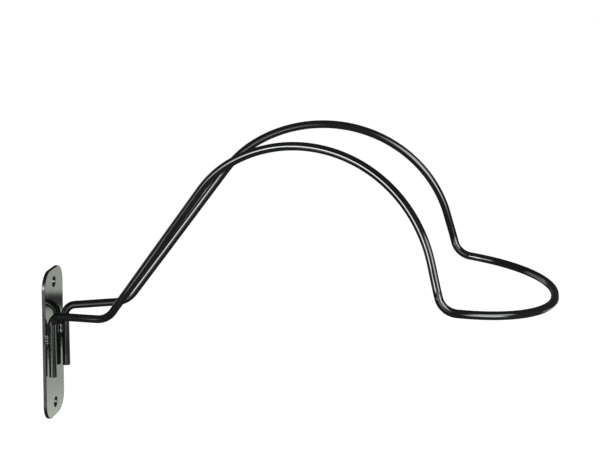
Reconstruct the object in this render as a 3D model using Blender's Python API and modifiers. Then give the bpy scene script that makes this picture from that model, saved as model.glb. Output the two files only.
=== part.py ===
"""Helmet hanger for a wall: a flat steel plate with two screw holes and one bent steel rod welded to its front.

The rod starts as two legs down the front of the plate. Its two sides run out from the wall, climb, go over a
crown that carries the helmet's shell, drop to the brow and meet in a round nose under the helmet's front.

Units are metres and +Z is up. The origin is the middle of the plate's back face, which lies on the wall, and
+X points away from the wall. The two sides of the rod mirror each other about the plane Y = 0.
"""

from math import asin, ceil, copysign, cos, pi, radians, sin

import bmesh
import bpy
from mathutils import Matrix, Vector

# Wall plate
PLATE_WIDTH = 0.0354
PLATE_HEIGHT = 0.0976
PLATE_THICKNESS = 0.0022
PLATE_CORNER_RADIUS = 0.0110
PLATE_EDGE_BREAK = 0.0003
SCREW_HOLE_DIAMETER = 0.0065
SCREW_HOLE_SPACING = 0.0800

# Rod stock, and the clearance between pieces that touch
ROD_DIAMETER = 0.0050
SEAT_GAP = 0.0003

# Legs, welded upright to the plate
LEG_SPACING = 0.0270
LEG_LENGTH = 0.0336
LEG_FOOT_BELOW_CENTRE = 0.01865
LEG_LEAN = radians(0.7)
LEG_BEND_RADIUS = 0.0065

# Stubs, straight out from the legs, and arms, straight up to the crown
STUB_LENGTH = 0.0257
STUB_SLOPE = radians(4.0)
ARM_BEND_RADIUS = 0.0150
ARM_LENGTH = 0.1003
ARM_SLOPE = radians(54.7)

# Crown, in two radii, and the drop in front of it
SHOULDER_RADIUS = 0.0650
SHOULDER_TOP_SLOPE = radians(33.0)
CROWN_RADIUS = 0.0810
DROP_LENGTH = 0.0200
DROP_SLOPE = radians(-74.0)

# Brow bend, and the nose that closes the loop
BROW_BEND_RADIUS = 0.0120
NOSE_SLOPE = radians(-5.0)
WIDEST_ABOVE_BROW = 0.0150
NOSE_REACH = 0.0700
NOSE_SQUARENESS = 2.15

# Width across the rod's two sides, centre to centre, at places along it
ARM_FOOT_WIDTH = 0.0480
ARM_TOP_WIDTH = 0.0740
CROWN_WIDTH = 0.0920
DROP_TOP_WIDTH = 0.1370
WIDEST_WIDTH = 0.1470

# Weld beads, one down each side of each leg
BEAD_LENGTH = 0.0110
BEAD_RADIUS = 0.0021
BEAD_BELOW_BEND = 0.0042
BEAD_RIPPLES = 5
BEAD_RIPPLE_DEPTH = 0.0002

# Fineness of the surfaces
ARC_STEP = radians(6.0)
STRAIGHT_STEP = 0.0090
ROD_BEVEL_RESOLUTION = 5
CORNER_SEGMENTS = 10
HOLE_SEGMENTS = 32
BEAD_SEGMENTS = 16
BEAD_STEPS_PER_RIPPLE = 5

ROD_RADIUS = ROD_DIAMETER / 2
LEG_TOP_X = PLATE_THICKNESS + SEAT_GAP + ROD_RADIUS
LEG_FOOT_X = LEG_TOP_X + LEG_LENGTH * sin(LEG_LEAN)


class SideProfile:
    """The rod seen from the side: straight runs and bends, each starting where the last one ends."""

    def __init__(self, x, z, heading):
        self.length = 0.0
        self.runs = []
        self.end = (x, z, heading)

    def add(self, length, turn_rate):
        self.runs.append((self.length, self.end, turn_rate))
        self.length += length
        self.end = self.at(self.length)
        return self.length

    def straight(self, length):
        return self.add(length, 0.0)

    def bend(self, radius, heading):
        turn = heading - self.end[2]
        return self.add(radius * abs(turn), copysign(1 / radius, turn))

    def at(self, distance):
        """X, Z and heading at a distance along the rod."""
        start, (x, z, heading), turn_rate = [run for run in self.runs if run[0] <= distance][-1]
        along = distance - start
        if turn_rate == 0:
            return x + along * cos(heading), z + along * sin(heading), heading
        turned = heading + turn_rate * along
        x += (sin(turned) - sin(heading)) / turn_rate
        z -= (cos(turned) - cos(heading)) / turn_rate
        return x, z, turned

    def steps(self):
        """Distances along the rod that follow its bends closely and its straight runs loosely."""
        distances = []
        ends = [run[0] for run in self.runs[1:]] + [self.length]
        for (start, _, turn_rate), end in zip(self.runs, ends):
            length = end - start
            count = ceil(max(length * abs(turn_rate) / ARC_STEP, length / STRAIGHT_STEP))
            distances += [start + length * step / count for step in range(count)]
        return distances + [self.length]


def widths_between(stations, distance):
    """Half width at a distance, on a smooth curve through (distance, half width) stations, level at the last."""
    slopes = [(b[1] - a[1]) / (b[0] - a[0]) for a, b in zip(stations, stations[1:])]
    tangents = slopes[:1] + [(a + b) / 2 for a, b in zip(slopes, slopes[1:])] + [0.0]
    place = max(index for index, station in enumerate(stations[:-1]) if station[0] <= distance)
    (start, low), (end, high) = stations[place], stations[place + 1]
    span = end - start
    t = (distance - start) / span
    value = low * (1 + 2 * t) * (1 - t) ** 2 + high * t * t * (3 - 2 * t)
    return value + span * (tangents[place] * t * (1 - t) ** 2 + tangents[place + 1] * t * t * (t - 1))


def rod_side():
    """Centre line of one side of the rod, from the foot of its leg to the tip of the nose."""
    profile = SideProfile(LEG_FOOT_X, -LEG_FOOT_BELOW_CENTRE, pi / 2 + LEG_LEAN)
    leg_top = profile.straight(LEG_LENGTH)
    stub_start = profile.bend(LEG_BEND_RADIUS, STUB_SLOPE)
    profile.straight(STUB_LENGTH)
    arm_foot = profile.bend(ARM_BEND_RADIUS, ARM_SLOPE)
    arm_top = profile.straight(ARM_LENGTH)
    profile.bend(SHOULDER_RADIUS, SHOULDER_TOP_SLOPE)
    crown = profile.bend(CROWN_RADIUS, 0.0)
    drop_top = profile.bend(CROWN_RADIUS, DROP_SLOPE)
    profile.straight(DROP_LENGTH)
    brow = profile.bend(BROW_BEND_RADIUS, NOSE_SLOPE)
    widest = brow - WIDEST_ABOVE_BROW

    leg_top_x = profile.at(leg_top)[0]
    bend_reach = profile.at(stub_start)[0] - leg_top_x
    spread = (ARM_FOOT_WIDTH - LEG_SPACING) / 2 / (arm_foot - stub_start + bend_reach)
    stations = [
        (stub_start, LEG_SPACING / 2 + spread * bend_reach),
        (arm_foot, ARM_FOOT_WIDTH / 2),
        (arm_top, ARM_TOP_WIDTH / 2),
        (crown, CROWN_WIDTH / 2),
        (drop_top, DROP_TOP_WIDTH / 2),
        (widest, WIDEST_WIDTH / 2),
    ]

    def half_width(distance):
        if distance <= leg_top:
            return LEG_SPACING / 2
        if distance <= stub_start:
            return LEG_SPACING / 2 + spread * (profile.at(distance)[0] - leg_top_x)
        if distance <= widest:
            return widths_between(stations, distance)
        share = (distance - widest) / NOSE_REACH
        return WIDEST_WIDTH / 2 * (1 - share**NOSE_SQUARENESS) ** (1 / NOSE_SQUARENESS)

    # The nose is stepped by angle round its middle, so that its points stay even up to the tip.
    distances = profile.steps()
    profile.straight(NOSE_REACH - WIDEST_ABOVE_BROW)
    nose_start = asin((WIDEST_ABOVE_BROW / NOSE_REACH) ** (NOSE_SQUARENESS / 2))
    nose_steps = ceil((pi / 2 - nose_start) / ARC_STEP)
    for step in range(1, nose_steps + 1):
        angle = nose_start + (pi / 2 - nose_start) * step / nose_steps
        distances.append(widest + NOSE_REACH * sin(angle) ** (2 / NOSE_SQUARENESS))

    points = []
    for distance in distances[:-1]:
        x, z, _ = profile.at(distance)
        points.append(Vector((x, half_width(distance), z)))
    tip_x, tip_z, _ = profile.at(widest + NOSE_REACH)
    return points + [Vector((tip_x, 0.0, tip_z))]


def clear_scene():
    for item in list(bpy.data.objects):
        bpy.data.objects.remove(item, do_unlink=True)


def new_collection(name):
    collection = bpy.data.collections.new(name)
    bpy.context.scene.collection.children.link(collection)
    return collection


def new_material(name, colour, roughness, metallic=0.0, coat=0.0):
    material = bpy.data.materials.new(name)
    material.use_nodes = True
    shader = material.node_tree.nodes["Principled BSDF"]
    shader.inputs["Base Color"].default_value = (*colour, 1.0)
    shader.inputs["Roughness"].default_value = roughness
    shader.inputs["Metallic"].default_value = metallic
    shader.inputs["Coat Weight"].default_value = coat
    return material


def mesh_object(name, build, collection):
    """An object whose mesh the build function fills in."""
    mesh = bpy.data.meshes.new(name)
    shape = bmesh.new()
    build(shape)
    shape.to_mesh(mesh)
    shape.free()
    item = bpy.data.objects.new(name, mesh)
    collection.objects.link(item)
    return item


def cut(item, cutter):
    modifier = item.modifiers.new("cut_" + cutter.name, "BOOLEAN")
    modifier.operation = "DIFFERENCE"
    modifier.solver = "EXACT"
    modifier.object = cutter


def make_cutter(name, build, cutters, location=(0, 0, 0), rotation=(0, 0, 0)):
    cutter = mesh_object(name, build, cutters)
    cutter.location = location
    cutter.rotation_euler = rotation
    cutter.hide_render = True
    cutter.display_type = "WIRE"
    return cutter


def cylinder(radius, length, segments):
    def build(shape):
        bmesh.ops.create_cone(
            shape, cap_ends=True, segments=segments, radius1=radius, radius2=radius, depth=length
        )

    return build


def box(size, middle=(0, 0, 0)):
    def build(shape):
        place = Matrix.Translation(middle) @ Matrix.Diagonal((*size, 1.0))
        bmesh.ops.create_cube(shape, size=1.0, matrix=place)

    return build


# Wall plate
def make_wall_plate(parts, cutters):
    def build(shape):
        box((PLATE_THICKNESS, PLATE_WIDTH, PLATE_HEIGHT))(shape)
        corners = [edge for edge in shape.edges if abs(edge.verts[0].co.x - edge.verts[1].co.x) > 1e-6]
        bmesh.ops.bevel(
            shape,
            geom=corners,
            offset=PLATE_CORNER_RADIUS,
            segments=CORNER_SEGMENTS,
            profile=0.5,
            affect="EDGES",
        )

    plate = mesh_object("wall_plate", build, parts)
    plate.location.x = PLATE_THICKNESS / 2
    for side, height in (("upper", SCREW_HOLE_SPACING / 2), ("lower", -SCREW_HOLE_SPACING / 2)):
        drill = make_cutter(
            f"{side}_screw_hole",
            cylinder(SCREW_HOLE_DIAMETER / 2, 3 * PLATE_THICKNESS, HOLE_SEGMENTS),
            cutters,
            (PLATE_THICKNESS / 2, 0.0, height),
            (0.0, pi / 2, 0.0),
        )
        cut(plate, drill)
    edge_break = plate.modifiers.new("edge_break", "BEVEL")
    edge_break.width = PLATE_EDGE_BREAK
    edge_break.segments = 2
    edge_break.limit_method = "ANGLE"
    edge_break.angle_limit = radians(50)
    plate.data.materials.append(new_material("plate_paint", (0.012, 0.013, 0.013), 0.14, coat=0.5))
    return plate


# Bent rod
def make_hanger_rod(parts):
    side = rod_side()
    other_side = [Vector((point.x, -point.y, point.z)) for point in side[:-1]]
    path = other_side + side[::-1]
    curve = bpy.data.curves.new("hanger_rod", "CURVE")
    curve.dimensions = "3D"
    curve.bevel_depth = ROD_RADIUS
    curve.bevel_resolution = ROD_BEVEL_RESOLUTION
    curve.use_fill_caps = True
    spline = curve.splines.new("POLY")
    spline.points.add(len(path) - 1)
    for place, point in zip(spline.points, path):
        place.co = (*point, 1.0)
    spline.use_smooth = True
    rod = bpy.data.objects.new("hanger_rod", curve)
    parts.objects.link(rod)
    curve.materials.append(new_material("rod_paint", (0.010, 0.011, 0.011), 0.12, coat=0.5))
    return rod


# Weld beads
def bead_outline():
    """Radius down the bead, from its upper end to its lower end, with rounded ends and the welder's ripples."""
    steps = BEAD_RIPPLES * BEAD_STEPS_PER_RIPPLE
    outline = []
    for step in range(steps + 1):
        share = step / steps
        swell = sin(pi * share) ** 0.5
        ripple = BEAD_RIPPLE_DEPTH * (1 - cos(2 * pi * BEAD_RIPPLES * share)) / 2
        radius = max(swell * (BEAD_RADIUS - BEAD_RIPPLE_DEPTH + ripple), 0.0)
        outline.append((radius, BEAD_LENGTH * (0.5 - share)))
    outline[0] = (0.0, BEAD_LENGTH / 2)
    outline[-1] = (0.0, -BEAD_LENGTH / 2)
    return outline


def make_weld_bead(name, leg_y, outwards, parts, rod_cutter, plate_cutter, paint):
    """A bead in the corner between the plate and one side of a leg; outwards is the side's direction in Y."""

    def build(shape):
        verts = [shape.verts.new((radius, 0.0, height)) for radius, height in bead_outline()]
        for upper, lower in zip(verts, verts[1:]):
            shape.edges.new((upper, lower))

    bead = mesh_object(name, build, parts)
    turning = bead.modifiers.new("turning", "SCREW")
    turning.steps = BEAD_SEGMENTS
    turning.render_steps = BEAD_SEGMENTS
    turning.use_merge_vertices = True
    turning.merge_threshold = 0.00001
    turning.use_smooth_shade = True
    down_leg = BEAD_BELOW_BEND + BEAD_LENGTH / 2
    bead.rotation_euler.y = -LEG_LEAN
    bead.location = (
        PLATE_THICKNESS + down_leg * sin(LEG_LEAN),
        leg_y + outwards * ROD_RADIUS,
        -LEG_FOOT_BELOW_CENTRE + (LEG_LENGTH - down_leg) * cos(LEG_LEAN),
    )
    cut(bead, rod_cutter)
    cut(bead, plate_cutter)
    bead.data.materials.append(paint)
    return bead


def make_weld_beads(parts, cutters):
    paint = new_material("weld_paint", (0.014, 0.014, 0.015), 0.22, coat=0.4)
    depth = 4 * BEAD_RADIUS
    plate_cutter = make_cutter(
        "plate_clearance",
        box((depth, 2 * PLATE_WIDTH, PLATE_HEIGHT), (PLATE_THICKNESS + SEAT_GAP - depth / 2, 0, 0)),
        cutters,
    )
    beads = []
    for side, leg_y in (("left", LEG_SPACING / 2), ("right", -LEG_SPACING / 2)):
        rod_cutter = make_cutter(
            f"{side}_leg_clearance",
            cylinder(ROD_RADIUS + SEAT_GAP, 2 * LEG_LENGTH, 2 * BEAD_SEGMENTS),
            cutters,
            (LEG_TOP_X, leg_y, -LEG_FOOT_BELOW_CENTRE + LEG_LENGTH * cos(LEG_LEAN)),
            (0.0, -LEG_LEAN, 0.0),
        )
        for face, outwards in (("outer", copysign(1, leg_y)), ("inner", -copysign(1, leg_y))):
            name = f"{side}_{face}_weld"
            beads.append(make_weld_bead(name, leg_y, outwards, parts, rod_cutter, plate_cutter, paint))
    return beads


def main():
    clear_scene()
    parts = new_collection("helmet_hanger")
    cutters = new_collection("helmet_hanger_cutters")
    plate = make_wall_plate(parts, cutters)
    rod = make_hanger_rod(parts)
    beads = make_weld_beads(parts, cutters)
    wall_point = bpy.data.objects.new("helmet_hanger_origin", None)
    parts.objects.link(wall_point)
    for item in (plate, rod, *beads):
        item.parent = wall_point
    for item in (plate, *beads):
        item.data.shade_smooth()
        item.data.set_sharp_from_angle(angle=radians(35))


main()
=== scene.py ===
from math import asin, ceil, copysign, cos, pi, radians, sin, tan

import bmesh
import bpy
from mathutils import Matrix, Vector


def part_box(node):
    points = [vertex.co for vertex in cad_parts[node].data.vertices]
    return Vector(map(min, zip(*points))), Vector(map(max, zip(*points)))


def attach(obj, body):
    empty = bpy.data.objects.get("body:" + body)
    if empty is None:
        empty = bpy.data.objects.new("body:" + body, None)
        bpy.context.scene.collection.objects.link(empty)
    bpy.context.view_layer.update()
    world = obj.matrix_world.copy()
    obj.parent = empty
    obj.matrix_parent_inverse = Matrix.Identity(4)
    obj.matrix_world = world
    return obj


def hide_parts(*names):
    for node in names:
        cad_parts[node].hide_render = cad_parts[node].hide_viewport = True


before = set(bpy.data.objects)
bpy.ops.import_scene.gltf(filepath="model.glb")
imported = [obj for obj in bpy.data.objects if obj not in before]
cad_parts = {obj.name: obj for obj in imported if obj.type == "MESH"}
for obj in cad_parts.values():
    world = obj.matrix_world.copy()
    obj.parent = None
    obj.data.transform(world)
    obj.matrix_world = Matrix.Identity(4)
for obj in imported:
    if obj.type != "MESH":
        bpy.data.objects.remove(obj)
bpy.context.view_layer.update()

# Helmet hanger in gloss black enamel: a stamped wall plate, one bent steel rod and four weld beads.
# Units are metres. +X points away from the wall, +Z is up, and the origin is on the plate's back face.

# Wall plate
PLATE_CORNER_RADIUS = 0.0110
PLATE_EDGE_ROUNDING = 0.00035
SCREW_HOLE_DIAMETER = 0.0065
SCREW_HOLE_SPACING = 0.0800
FLAT_RIM = 0.0002
CORNER_SEGMENTS = 24
HOLE_SEGMENTS = 64

# Rod stock
ROD_RADIUS = 0.0025
SEAT_GAP = 0.0003
CUT_END_ROUNDING = 0.00035

# Legs, stubs and arms
LEG_SPACING = 0.0270
LEG_LENGTH = 0.0336
LEG_FOOT_BELOW_CENTRE = 0.01865
LEG_LEAN = radians(0.7)
LEG_BEND_RADIUS = 0.0065
STUB_LENGTH = 0.0257
STUB_SLOPE = radians(4.0)
ARM_BEND_RADIUS = 0.0150
ARM_LENGTH = 0.1003
ARM_SLOPE = radians(54.7)

# Crown, drop, brow and nose
SHOULDER_RADIUS = 0.0650
SHOULDER_TOP_SLOPE = radians(33.0)
CROWN_RADIUS = 0.0810
DROP_LENGTH = 0.0200
DROP_SLOPE = radians(-74.0)
BROW_BEND_RADIUS = 0.0120
NOSE_SLOPE = radians(-5.0)
WIDEST_ABOVE_BROW = 0.0150
NOSE_REACH = 0.0700
NOSE_SQUARENESS = 2.15

# Width across the rod's two sides, centre to centre
ARM_FOOT_WIDTH = 0.0480
ARM_TOP_WIDTH = 0.0740
CROWN_WIDTH = 0.0920
DROP_TOP_WIDTH = 0.1370
WIDEST_WIDTH = 0.1470

# Weld beads
BEAD_DROPS = 10
BEAD_DROP_RADIUS = 0.0020
BEAD_DROP_TILT = -0.5
BEAD_DROP_FLATNESS = 0.95
BEAD_WANDER = 0.0002
BEAD_GRAIN = 0.0001
BEAD_EASING_STEPS = 110
ROOT_RADIUS = 0.0005
ROOT_TIP_RADIUS = 0.4 * ROOT_RADIUS
ROOT_FROM_LEG = 0.0011
ROOT_ABOVE_BEND = 0.0008
ROOT_BELOW_BEAD = 0.0075

# Fineness of the surfaces
ARC_STEP = radians(1.5)
STRAIGHT_STEP = 0.0030
ROD_SEGMENTS = 32
SHARP_ABOVE = radians(35)

# Camera
CAMERA_PLACE = Vector((0.3013, -0.8879, 0.2787))
CAMERA_AZIMUTH = radians(9.05)
CAMERA_ELEVATION = radians(12.14)
CAMERA_ROLL = radians(1.127)
CAMERA_LENS = 90.0

# Paint
ENAMEL_IOR = 1.8
ENAMEL_TONE = (0.0062, 0.0075, 0.0066)
WELD_TONE = (0.0075, 0.0088, 0.0080)
DUST_TONE = (0.10, 0.10, 0.095)

# Studio
OBJECT_MIDDLE = Vector((0.16, 0.0, 0.05))
FLOOR_HEIGHT = -0.60
FLOOR_RADIUS = 4.0
FLOOR_PAINT = (0.8, 0.8, 0.8, 1.0)
FLOOR_GLOW = 0.97
WHITE = (1.0, 1.0, 1.0, 1.0)
LAMP_DISTANCE = 1.5
LAMP_GRID_ANGLE = radians(150)
ROOM_GREY = 0.05
SOFT_WHITE = (0.97, 1.0, 0.96)
CARD_WHITE = (0.93, 1.0, 0.86)


class SideProfile:
    """The rod seen from the side: straight runs and bends, each starting where the last one ends."""

    def __init__(self, x, z, heading):
        self.length = 0.0
        self.runs = []
        self.end = (x, z, heading)

    def add(self, length, turn_rate):
        self.runs.append((self.length, self.end, turn_rate))
        self.length += length
        self.end = self.at(self.length)
        return self.length

    def straight(self, length):
        return self.add(length, 0.0)

    def bend(self, radius, heading):
        turn = heading - self.end[2]
        return self.add(radius * abs(turn), copysign(1 / radius, turn))

    def at(self, distance):
        """X, Z and heading at a distance along the rod."""
        start, (x, z, heading), turn_rate = [run for run in self.runs if run[0] <= distance][-1]
        along = distance - start
        if turn_rate == 0:
            return x + along * cos(heading), z + along * sin(heading), heading
        turned = heading + turn_rate * along
        x += (sin(turned) - sin(heading)) / turn_rate
        z -= (cos(turned) - cos(heading)) / turn_rate
        return x, z, turned

    def steps(self):
        """Distances along the rod that follow its bends closely and its straight runs loosely."""
        distances = []
        ends = [run[0] for run in self.runs[1:]] + [self.length]
        for (start, _, turn_rate), end in zip(self.runs, ends):
            length = end - start
            count = ceil(max(length * abs(turn_rate) / ARC_STEP, length / STRAIGHT_STEP))
            distances += [start + length * step / count for step in range(count)]
        return distances + [self.length]


def widths_between(stations, distance):
    """Half width at a distance: a smooth curve through (distance, half width) stations, level at the last."""
    slopes = [(b[1] - a[1]) / (b[0] - a[0]) for a, b in zip(stations, stations[1:])]
    tangents = slopes[:1] + [(a + b) / 2 for a, b in zip(slopes, slopes[1:])] + [0.0]
    place = max(index for index, station in enumerate(stations[:-1]) if station[0] <= distance)
    (start, low), (end, high) = stations[place], stations[place + 1]
    span = end - start
    t = (distance - start) / span
    value = low * (1 + 2 * t) * (1 - t) ** 2 + high * t * t * (3 - 2 * t)
    return value + span * (tangents[place] * t * (1 - t) ** 2 + tangents[place + 1] * t * t * (t - 1))


def rod_side(plate_face):
    """Centre line of one side of the rod, from the foot of its leg to the tip of the nose."""
    leg_foot_x = plate_face + SEAT_GAP + ROD_RADIUS + LEG_LENGTH * sin(LEG_LEAN)
    profile = SideProfile(leg_foot_x, -LEG_FOOT_BELOW_CENTRE, pi / 2 + LEG_LEAN)
    leg_top = profile.straight(LEG_LENGTH)
    stub_start = profile.bend(LEG_BEND_RADIUS, STUB_SLOPE)
    profile.straight(STUB_LENGTH)
    arm_foot = profile.bend(ARM_BEND_RADIUS, ARM_SLOPE)
    arm_top = profile.straight(ARM_LENGTH)
    profile.bend(SHOULDER_RADIUS, SHOULDER_TOP_SLOPE)
    crown = profile.bend(CROWN_RADIUS, 0.0)
    drop_top = profile.bend(CROWN_RADIUS, DROP_SLOPE)
    profile.straight(DROP_LENGTH)
    brow = profile.bend(BROW_BEND_RADIUS, NOSE_SLOPE)
    widest = brow - WIDEST_ABOVE_BROW

    leg_top_x = profile.at(leg_top)[0]
    bend_reach = profile.at(stub_start)[0] - leg_top_x
    spread = (ARM_FOOT_WIDTH - LEG_SPACING) / 2 / (arm_foot - stub_start + bend_reach)
    stations = [
        (stub_start, LEG_SPACING / 2 + spread * bend_reach),
        (arm_foot, ARM_FOOT_WIDTH / 2),
        (arm_top, ARM_TOP_WIDTH / 2),
        (crown, CROWN_WIDTH / 2),
        (drop_top, DROP_TOP_WIDTH / 2),
        (widest, WIDEST_WIDTH / 2),
    ]

    def half_width(distance):
        if distance <= leg_top:
            return LEG_SPACING / 2
        if distance <= stub_start:
            return LEG_SPACING / 2 + spread * (profile.at(distance)[0] - leg_top_x)
        if distance <= widest:
            return widths_between(stations, distance)
        share = (distance - widest) / NOSE_REACH
        return WIDEST_WIDTH / 2 * (1 - share**NOSE_SQUARENESS) ** (1 / NOSE_SQUARENESS)

    # The nose is stepped by angle round its middle, so that its points stay even up to the tip.
    distances = profile.steps()
    profile.straight(NOSE_REACH - WIDEST_ABOVE_BROW)
    nose_start = asin((WIDEST_ABOVE_BROW / NOSE_REACH) ** (NOSE_SQUARENESS / 2))
    nose_steps = ceil((pi / 2 - nose_start) / ARC_STEP)
    for step in range(1, nose_steps + 1):
        angle = nose_start + (pi / 2 - nose_start) * step / nose_steps
        distances.append(widest + NOSE_REACH * sin(angle) ** (2 / NOSE_SQUARENESS))

    points = []
    for distance in distances[:-1]:
        x, z, _ = profile.at(distance)
        points.append(Vector((x, half_width(distance), z)))
    tip_x, tip_z, _ = profile.at(widest + NOSE_REACH)
    return points + [Vector((tip_x, 0.0, tip_z))]


# Making pieces
def add_piece(name, mesh):
    piece = bpy.data.objects.new(name, mesh)
    bpy.context.scene.collection.objects.link(piece)
    return piece


def as_mesh(name, source):
    """The finished shape of an object, with its modifiers applied, as a mesh; the object itself goes."""
    bpy.context.view_layer.update()
    graph = bpy.context.evaluated_depsgraph_get()
    mesh = bpy.data.meshes.new_from_object(source.evaluated_get(graph))
    mesh.transform(source.matrix_world)
    mesh.name = name
    bpy.data.objects.remove(source, do_unlink=True)
    return mesh


def reworked(mesh, work):
    """Runs a function on the mesh as a bmesh, then merges doubles and turns all faces outwards."""
    shape = bmesh.new()
    shape.from_mesh(mesh)
    bmesh.ops.remove_doubles(shape, verts=shape.verts[:], dist=1e-6)
    work(shape)
    bmesh.ops.recalc_face_normals(shape, faces=shape.faces[:])
    shape.to_mesh(mesh)
    shape.free()
    return mesh


def smooth(piece):
    piece.data.shade_smooth()
    piece.data.set_sharp_from_angle(angle=SHARP_ABOVE)


def hold(piece, finish, slot, *nodes):
    """Gives a piece its finish and seats it in place of CAD nodes."""
    piece.data.materials.clear()
    piece.data.materials.append(finish)
    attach(piece, "root")
    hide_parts(*nodes)


# Wall plate
def wall_plate():
    low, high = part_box("wall_plate")
    size = high - low
    shape = bmesh.new()
    place = Matrix.Translation((low + high) / 2) @ Matrix.Diagonal((*size, 1.0))
    bmesh.ops.create_cube(shape, size=1.0, matrix=place)
    corners = [edge for edge in shape.edges if abs(edge.verts[0].co.x - edge.verts[1].co.x) > 1e-6]
    bmesh.ops.bevel(
        shape,
        geom=corners,
        offset=PLATE_CORNER_RADIUS,
        segments=CORNER_SEGMENTS,
        profile=0.5,
        affect="EDGES",
        material=-1,
    )
    mesh = bpy.data.meshes.new("stamped_plate")
    shape.to_mesh(mesh)
    shape.free()
    plate = add_piece("stamped_plate", mesh)

    drills = []
    for height in (SCREW_HOLE_SPACING / 2, -SCREW_HOLE_SPACING / 2):
        drill_shape = bmesh.new()
        bmesh.ops.create_cone(
            drill_shape,
            cap_ends=True,
            segments=HOLE_SEGMENTS,
            radius1=SCREW_HOLE_DIAMETER / 2,
            radius2=SCREW_HOLE_DIAMETER / 2,
            depth=4 * size.x,
            matrix=Matrix.Translation((size.x / 2, 0, height)) @ Matrix.Rotation(pi / 2, 4, "Y"),
        )
        drill_mesh = bpy.data.meshes.new("screw_hole")
        drill_shape.to_mesh(drill_mesh)
        drill_shape.free()
        drill = add_piece("screw_hole", drill_mesh)
        drills.append(drill)
        drilling = plate.modifiers.new("drilling", "BOOLEAN")
        drilling.operation = "DIFFERENCE"
        drilling.solver = "EXACT"
        drilling.object = drill
    rounding = plate.modifiers.new("rounding", "BEVEL")
    rounding.width = PLATE_EDGE_ROUNDING
    rounding.segments = 4
    rounding.limit_method = "ANGLE"
    rounding.angle_limit = radians(50)
    mesh = as_mesh("stamped_plate", plate)
    for drill in drills:
        bpy.data.objects.remove(drill, do_unlink=True)

    def rim_flat_faces(shape):
        """A narrow rim inside the flat faces and the edge, so that only it is shaded towards the rounding."""
        for way in (-1, 0, 1):
            flat = [face for face in shape.faces if abs(face.normal.x - way) < 0.0001]
            bmesh.ops.inset_region(shape, faces=flat, thickness=FLAT_RIM, use_even_offset=True)

    plate = add_piece("stamped_plate", reworked(mesh, rim_flat_faces))
    smooth(plate)
    return plate


# Bent rod
def bent_rod(plate_face):
    side = rod_side(plate_face)
    other_side = [Vector((point.x, -point.y, point.z)) for point in side[:-1]]
    path = other_side + side[::-1]
    curve = bpy.data.curves.new("bent_rod", "CURVE")
    curve.dimensions = "3D"
    curve.bevel_depth = ROD_RADIUS
    curve.bevel_resolution = ROD_SEGMENTS // 2 - 1
    curve.use_fill_caps = True
    spline = curve.splines.new("POLY")
    spline.points.add(len(path) - 1)
    for place, point in zip(spline.points, path):
        place.co = (*point, 1.0)
    mesh = as_mesh("bent_rod", add_piece("bent_rod_path", curve))

    def round_cut_ends(shape):
        caps = [face for face in shape.faces if len(face.verts) > 4]
        rims = list({edge for face in caps for edge in face.edges})
        bmesh.ops.bevel(
            shape,
            geom=rims,
            offset=CUT_END_ROUNDING,
            segments=3,
            profile=0.5,
            affect="EDGES",
            material=-1,
        )

    rod = add_piece("bent_rod", reworked(mesh, round_cut_ends))
    smooth(rod)
    return rod


# Weld beads
def weld_bead(name, node, leg_y, outwards, plate_face):
    """Overlapping drops in the corner between the plate and one side of a leg, over a thin root run."""
    shape = bmesh.new()
    low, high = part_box(node)
    leg_top = LEG_LENGTH * cos(LEG_LEAN) - LEG_FOOT_BELOW_CENTRE
    top_drop = high.z - BEAD_DROP_RADIUS
    run = high.z - low.z - 2 * BEAD_DROP_RADIUS
    for drop in range(BEAD_DROPS):
        share = drop / (BEAD_DROPS - 1)
        # The beat makes each bead, and each drop in it, a little different.
        beat = 2.3 * drop + 5.1 * leg_y / LEG_SPACING + 0.9 * outwards
        radius = BEAD_DROP_RADIUS * (0.74 + 0.24 * sin(pi * share) ** 0.5 + 0.04 * sin(1.7 * beat))
        height = top_drop - run * share + BEAD_WANDER * sin(beat)
        x = plate_face + (leg_top - height) * tan(LEG_LEAN) + 0.5 * BEAD_WANDER * sin(2.1 * beat)
        y = leg_y + outwards * (ROD_RADIUS + BEAD_WANDER * sin(1.3 * beat))
        flattened = Matrix.Diagonal((1.0, 1.0, BEAD_DROP_FLATNESS, 1.0))
        tilted = Matrix.Rotation(BEAD_DROP_TILT + 0.15 * sin(beat), 4, "Y") @ flattened
        place = Matrix.Translation((x, y, height)) @ tilted
        bmesh.ops.create_icosphere(shape, subdivisions=4, radius=radius, matrix=place)
    root_length = leg_top + ROOT_ABOVE_BEND - low.z + ROOT_BELOW_BEAD
    root_middle = low.z - ROOT_BELOW_BEAD + root_length / 2
    middle = Vector((plate_face + ROOT_RADIUS, leg_y + outwards * ROOT_FROM_LEG, root_middle))
    bmesh.ops.create_cone(
        shape,
        cap_ends=True,
        segments=20,
        radius1=ROOT_TIP_RADIUS,
        radius2=ROOT_RADIUS,
        depth=root_length,
        matrix=Matrix.Translation(middle),
    )
    mesh = bpy.data.meshes.new(name)
    shape.to_mesh(mesh)
    shape.free()
    bead = add_piece(name, mesh)
    melt = bead.modifiers.new("melt", "REMESH")
    melt.mode = "VOXEL"
    melt.voxel_size = BEAD_GRAIN
    ease = bead.modifiers.new("ease", "SMOOTH")
    ease.factor = 0.5
    ease.iterations = BEAD_EASING_STEPS
    bead = add_piece(name, as_mesh(name, bead))
    bead.data.shade_smooth()
    return bead


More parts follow.
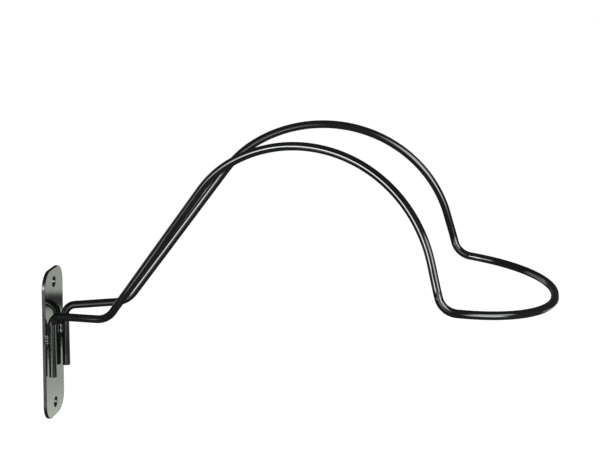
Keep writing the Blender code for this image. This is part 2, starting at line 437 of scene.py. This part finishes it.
# Finishes
class Shade:
    """A number that varies over a surface. An operator on it adds the Math node that works it out."""

    def __init__(self, finish, socket):
        self.finish = finish
        self.socket = socket

    def worked(self, operation, first, second=0.0):
        node = self.finish.node("ShaderNodeMath", {"operation": operation}, {0: first, 1: second})
        return Shade(self.finish, node.outputs[0])

    def __add__(self, other):
        return self.worked("ADD", self, other)

    __radd__ = __add__

    def __sub__(self, other):
        return self.worked("SUBTRACT", self, other)

    def __rsub__(self, other):
        return self.worked("SUBTRACT", other, self)

    def __mul__(self, other):
        return self.worked("MULTIPLY", self, other)

    __rmul__ = __mul__

    def __abs__(self):
        return self.worked("ABSOLUTE", self)


class Finish:
    """A node tree under way, of a material or of the world."""

    def __init__(self, owner):
        owner.use_nodes = True
        self.owner = owner
        self.tree = owner.node_tree
        self.tree.nodes.clear()

    def node(self, kind, settings=None, inputs=None):
        node = self.tree.nodes.new(kind)
        for name, value in (settings or {}).items():
            setattr(node, name, value)
        for name, value in (inputs or {}).items():
            if isinstance(value, Shade):
                value = value.socket
            if isinstance(value, bpy.types.NodeSocket):
                self.tree.links.new(value, node.inputs[name])
            else:
                node.inputs[name].default_value = value
        return node

    def place(self):
        return self.node("ShaderNodeTexCoord").outputs["Object"]

    def noise(self, vector, scale, detail):
        inputs = {"Vector": vector, "Scale": scale, "Detail": detail}
        return Shade(self, self.node("ShaderNodeTexNoise", None, inputs).outputs["Fac"])

    def steep(self, shade, start, end):
        """0 below start, 1 above end, and smooth between them."""
        settings = {"interpolation_type": "SMOOTHSTEP"}
        inputs = {"Value": shade, "From Min": start, "From Max": end}
        return Shade(self, self.node("ShaderNodeMapRange", settings, inputs).outputs["Result"])

    def blend(self, share, first, second):
        """A colour between two colours."""
        settings = {"data_type": "RGBA", "clamp_factor": True}
        node = self.node("ShaderNodeMix", settings, {"Factor": share})
        self.fill(node.inputs[6], first)
        self.fill(node.inputs[7], second)
        return node.outputs[2]

    def fill(self, socket, colour):
        if isinstance(colour, bpy.types.NodeSocket):
            self.tree.links.new(colour, socket)
        else:
            socket.default_value = (*colour, 1.0)


def enamel(name, tone, roughness, edge_roughness, peel_scale, peel_height, wave_scale, wave_height):
    """Stoved gloss black over steel: an even skin with a faint orange peel, and fine dust on what faces up.
    What faces neither to the wall nor away from it is rougher by edge_roughness, as a cut edge is."""
    finish = Finish(bpy.data.materials.new(name))
    place = finish.place()
    drift = finish.noise(place, 45.0, 3.0)
    peel = finish.noise(place, peel_scale, 1.0)
    wave = finish.noise(place, wave_scale, 1.0)
    grit = finish.noise(place, 2600.0, 2.0)
    normal = finish.node("ShaderNodeNewGeometry").outputs["Normal"]
    facing = finish.node("ShaderNodeSeparateXYZ", None, {0: normal}).outputs
    upward = Shade(finish, facing[2])
    edge = 1.0 - finish.steep(abs(Shade(finish, facing[0])), 0.1, 0.9)
    dust = finish.steep(grit, 0.64, 0.76) * finish.steep(upward, 0.2, 0.9) * finish.steep(drift, 0.42, 0.6)
    tone_drift = finish.blend(finish.steep(drift, 0.35, 0.65), tone, [1.4 * part for part in tone])
    colour = finish.blend(dust * 0.3, tone_drift, DUST_TONE)
    rough = roughness + (drift - 0.5) * 0.05 + dust * 0.2 + (peel - 0.5) * 0.03 + edge * edge_roughness
    height = peel * peel_height + wave * wave_height + dust * 0.000004
    bump = finish.node("ShaderNodeBump", None, {"Strength": 1.0, "Distance": 1.0, "Height": height})
    inputs = {"Base Color": colour, "Roughness": rough, "IOR": ENAMEL_IOR, "Normal": bump.outputs["Normal"]}
    shader = finish.node("ShaderNodeBsdfPrincipled", None, inputs)
    finish.node("ShaderNodeOutputMaterial", None, {"Surface": shader.outputs[0]})
    return finish.owner


# Studio
def camera():
    data = bpy.data.cameras.new("camera")
    data.lens = CAMERA_LENS
    data.sensor_width = 36.0
    data.clip_start = 0.01
    data.clip_end = 50.0
    item = bpy.data.objects.new("camera", data)
    bpy.context.scene.collection.objects.link(item)
    turn = Matrix.Rotation(CAMERA_AZIMUTH, 4, "Z") @ Matrix.Rotation(pi / 2 - CAMERA_ELEVATION, 4, "X")
    item.matrix_world = Matrix.Translation(CAMERA_PLACE) @ turn @ Matrix.Rotation(CAMERA_ROLL, 4, "Z")
    bpy.context.scene.camera = item


def softbox(name, azimuth, elevation, width, height, radiance, fade_across, fade_up, colour=SOFT_WHITE):
    """A softbox with a grid, bright in its middle. It fades out towards its edges over the given shares of
    its half width and half height. Azimuth 0 stands on the camera's side and 90 beyond the nose."""
    data = bpy.data.lights.new(name, "AREA")
    data.shape = "RECTANGLE"
    data.size = width
    data.size_y = height
    data.spread = LAMP_GRID_ANGLE
    half = LAMP_GRID_ANGLE / 2
    data.energy = radiance * pi * width * height * (tan(half) - half) / tan(half)
    data.color = colour
    data.use_nodes = True
    cloth = Finish(data)
    spot = cloth.node("ShaderNodeNewGeometry").outputs["Parametric"]
    across, up = cloth.node("ShaderNodeSeparateXYZ", None, {0: spot}).outputs[:2]
    from_side = 1.0 - 2.0 * abs(Shade(cloth, across) - 0.5)
    from_end = 1.0 - 2.0 * abs(Shade(cloth, up) - 0.5)
    strength = cloth.steep(from_side, 0.0, fade_across) * cloth.steep(from_end, 0.0, fade_up)
    glow = cloth.node("ShaderNodeEmission", None, {"Strength": strength})
    cloth.node("ShaderNodeOutputLight", None, {"Surface": glow.outputs[0]})
    lamp = bpy.data.objects.new(name, data)
    bpy.context.scene.collection.objects.link(lamp)
    turn, rise = radians(azimuth), radians(elevation)
    away = Vector((sin(turn) * cos(rise), -cos(turn) * cos(rise), sin(rise)))
    lamp.location = OBJECT_MIDDLE + LAMP_DISTANCE * away
    lamp.rotation_euler = away.to_track_quat("Z", "Y").to_euler()
    lamp.visible_camera = False


def floor():
    shape = bmesh.new()
    bmesh.ops.create_circle(
        shape,
        cap_ends=True,
        segments=96,
        radius=FLOOR_RADIUS,
        matrix=Matrix.Translation((OBJECT_MIDDLE.x, 0.0, FLOOR_HEIGHT)),
    )
    mesh = bpy.data.meshes.new("floor")
    shape.to_mesh(mesh)
    shape.free()
    piece = add_piece("floor", mesh)
    finish = Finish(bpy.data.materials.new("white_floor"))
    rays = finish.node("ShaderNodeLightPath").outputs
    geometry = finish.node("ShaderNodeNewGeometry").outputs
    paint = finish.node("ShaderNodeBsdfDiffuse", None, {"Color": FLOOR_PAINT})
    seen = Shade(finish, rays["Is Camera Ray"])
    glow = finish.node("ShaderNodeEmission", None, {"Color": WHITE, "Strength": seen * FLOOR_GLOW})
    lit = finish.node("ShaderNodeAddShader", None, {0: paint.outputs[0], 1: glow.outputs[0]})
    dim = finish.node("ShaderNodeEmission", None, {"Color": WHITE, "Strength": ROOM_GREY})
    inputs = {0: rays["Is Glossy Ray"], 1: lit.outputs[0], 2: dim.outputs[0]}
    upper = finish.node("ShaderNodeMixShader", None, inputs)
    clear = finish.node("ShaderNodeBsdfTransparent")
    inputs = {0: geometry["Backfacing"], 1: upper.outputs[0], 2: clear.outputs[0]}
    whole = finish.node("ShaderNodeMixShader", None, inputs)
    finish.node("ShaderNodeOutputMaterial", None, {"Surface": whole.outputs[0]})
    piece.data.materials.append(finish.owner)


def surround():
    """White to the camera, and a dim room to gloss and to the lamplight."""
    world = bpy.data.worlds.new("surround")
    bpy.context.scene.world = world
    finish = Finish(world)
    rays = finish.node("ShaderNodeLightPath").outputs
    camera_ray = Shade(finish, rays["Is Camera Ray"])
    strength = camera_ray + (1.0 - camera_ray) * ROOM_GREY
    background = finish.node("ShaderNodeBackground", None, {"Color": WHITE, "Strength": strength})
    finish.node("ShaderNodeOutputWorld", None, {"Surface": background.outputs[0]})


plate_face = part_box("wall_plate")[1].x

plate_enamel = enamel(
    "plate_enamel",
    ENAMEL_TONE,
    roughness=0.07,
    edge_roughness=0.20,
    peel_scale=420.0,
    peel_height=0.0000012,
    wave_scale=60.0,
    wave_height=0.00001,
)
rod_enamel = enamel(
    "rod_enamel",
    ENAMEL_TONE,
    roughness=0.08,
    edge_roughness=0.0,
    peel_scale=700.0,
    peel_height=0.0000015,
    wave_scale=90.0,
    wave_height=0.000008,
)
weld_enamel = enamel(
    "weld_enamel",
    WELD_TONE,
    roughness=0.16,
    edge_roughness=0.0,
    peel_scale=900.0,
    peel_height=0.000006,
    wave_scale=300.0,
    wave_height=0.00002,
)

hold(wall_plate(), plate_enamel, "plate_paint", "wall_plate")
hold(bent_rod(plate_face), rod_enamel, "rod_paint", "hanger_rod")
for side, leg_y in (("left", LEG_SPACING / 2), ("right", -LEG_SPACING / 2)):
    for face, outwards in (("outer", copysign(1, leg_y)), ("inner", -copysign(1, leg_y))):
        node = f"{side}_{face}_weld"
        bead = weld_bead(f"{side}_{face}_bead", node, leg_y, outwards, plate_face)
        hold(bead, weld_enamel, "weld_paint", node)

camera()

# Lamps: azimuth and elevation in degrees, width and height, radiance, and the shares over which they fade.
softbox("right_softbox", 48.0, -3.0, 1.38, 0.90, 6.8, 0.60, 0.60)
softbox("low_right_softbox", 60.0, -27.0, 1.10, 0.40, 2.8, 0.70, 0.70)
softbox("upper_right_softbox", 60.0, 22.0, 1.40, 0.66, 4.7, 0.50, 0.40)
softbox("left_softbox", -24.5, 6.5, 0.42, 0.72, 12.0, 0.40, 0.50)
softbox("left_scrim", -38.0, 6.0, 0.62, 1.00, 5.0, 0.70, 0.60)
softbox("low_left_softbox", -32.0, -20.5, 0.34, 0.16, 7.0, 0.50, 0.50)
softbox("front_card", -1.0, -8.0, 0.76, 1.80, 2.0, 0.70, 0.70)
softbox("side_card", -124.0, 0.0, 1.60, 1.60, 0.8, 0.4, 0.2)
softbox("upper_card", 166.0, -10.23, 0.38, 0.30, 1.16, 0.1, 0.06, CARD_WHITE)
softbox("lower_card", 166.0, -24.25, 0.38, 0.40, 1.10, 0.1, 0.02, CARD_WHITE)
softbox("foot_card", 166.0, -24.9, 0.38, 0.226, 0.60, 0.1, 0.80, CARD_WHITE)
softbox("rim_card", 138.0, -24.0, 0.90, 0.40, 1.0, 0.1, 0.02, CARD_WHITE)
floor()
surround()
bpy.context.scene.view_settings.view_transform = "Standard"
